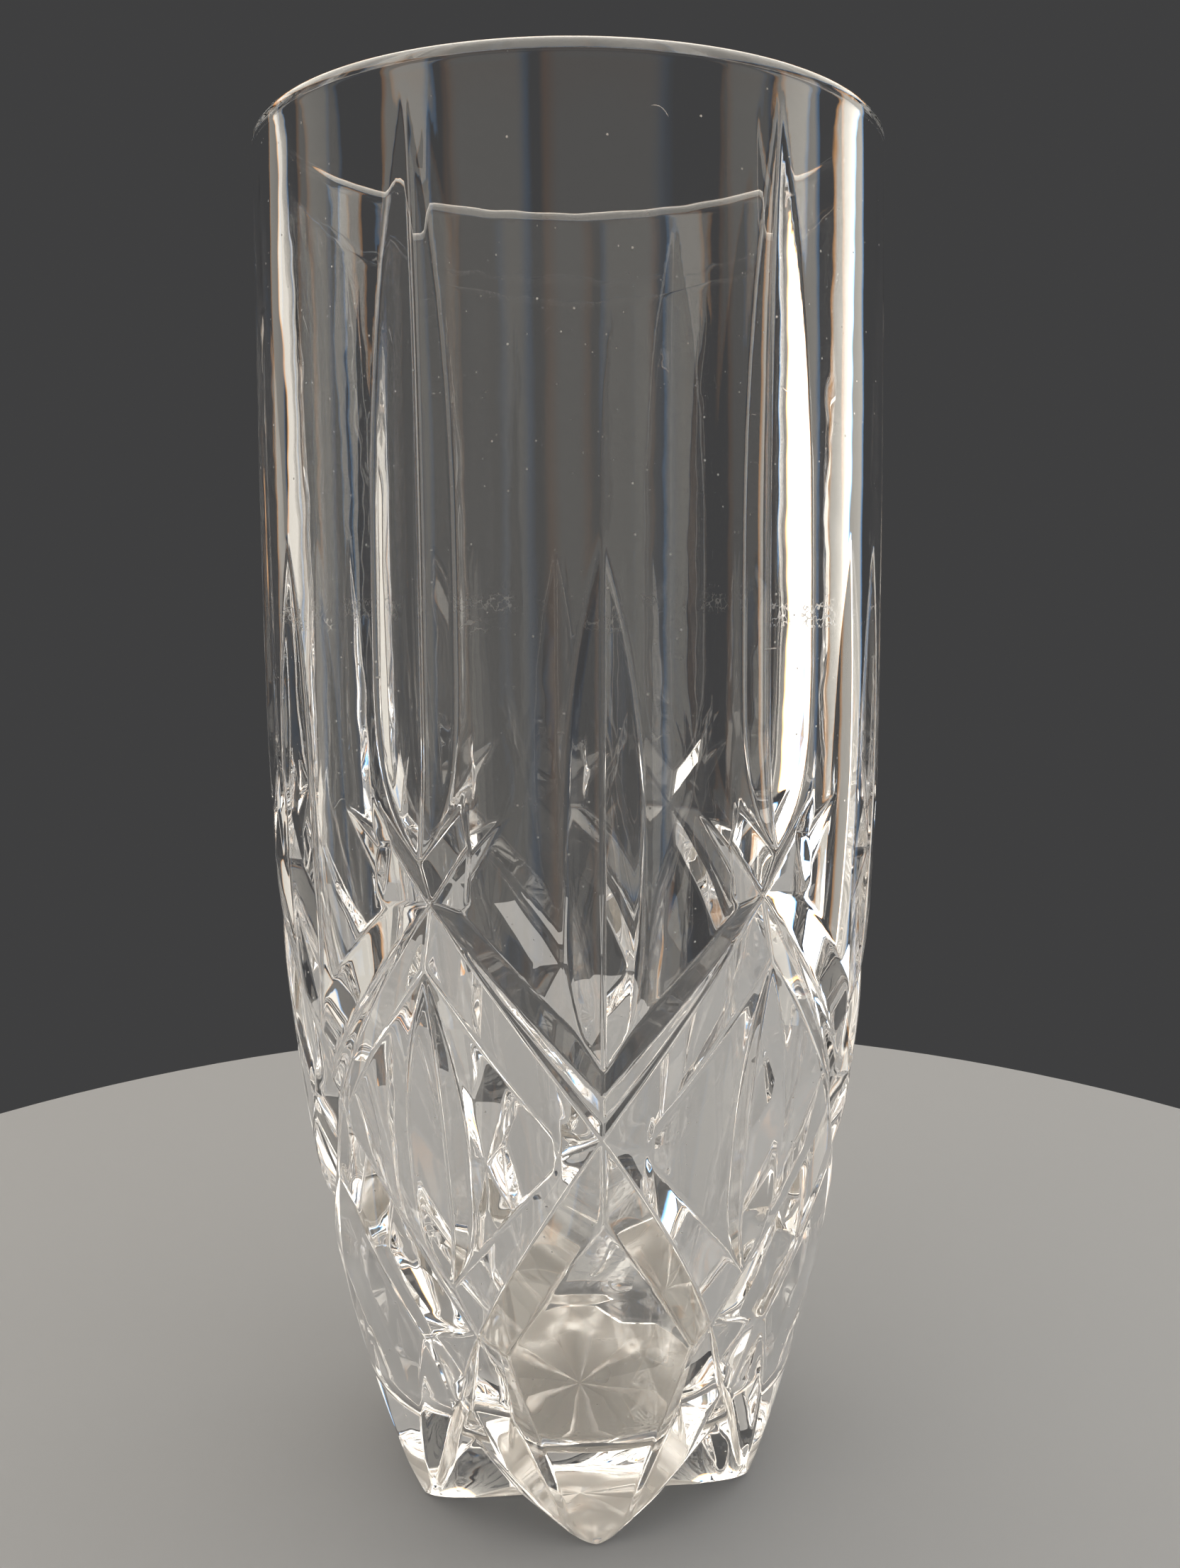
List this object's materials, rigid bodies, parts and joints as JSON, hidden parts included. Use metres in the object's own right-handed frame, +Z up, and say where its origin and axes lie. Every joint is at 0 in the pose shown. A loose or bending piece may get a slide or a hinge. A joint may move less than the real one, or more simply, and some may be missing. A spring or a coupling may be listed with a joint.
{
  "type": "cut crystal vase",
  "caption": "Tall open clear-glass vase with crossed mitre cuts and leaf-shaped cuts over a rounded body, standing on a star-shaped foot.",
  "frame": {"origin": "on the vase's axis, at the flat face that it stands on", "axes": "+Z up along the axis to the mouth; one point of the star-shaped foot lies on -Y"},
  "size_m": [0.1042, 0.1046, 0.229],
  "materials": {
    "crystal": "polished clear lead crystal"
  },
  "bodies": {
    "root": {"rim": "crystal", "upper_wall": "crystal", "lattice_wall": "crystal", "base": "crystal", "foot_1": "crystal", "foot_2": "crystal", "foot_3": "crystal", "foot_4": "crystal", "foot_5": "crystal", "foot_6": "crystal"}
  },
  "joints": []
}
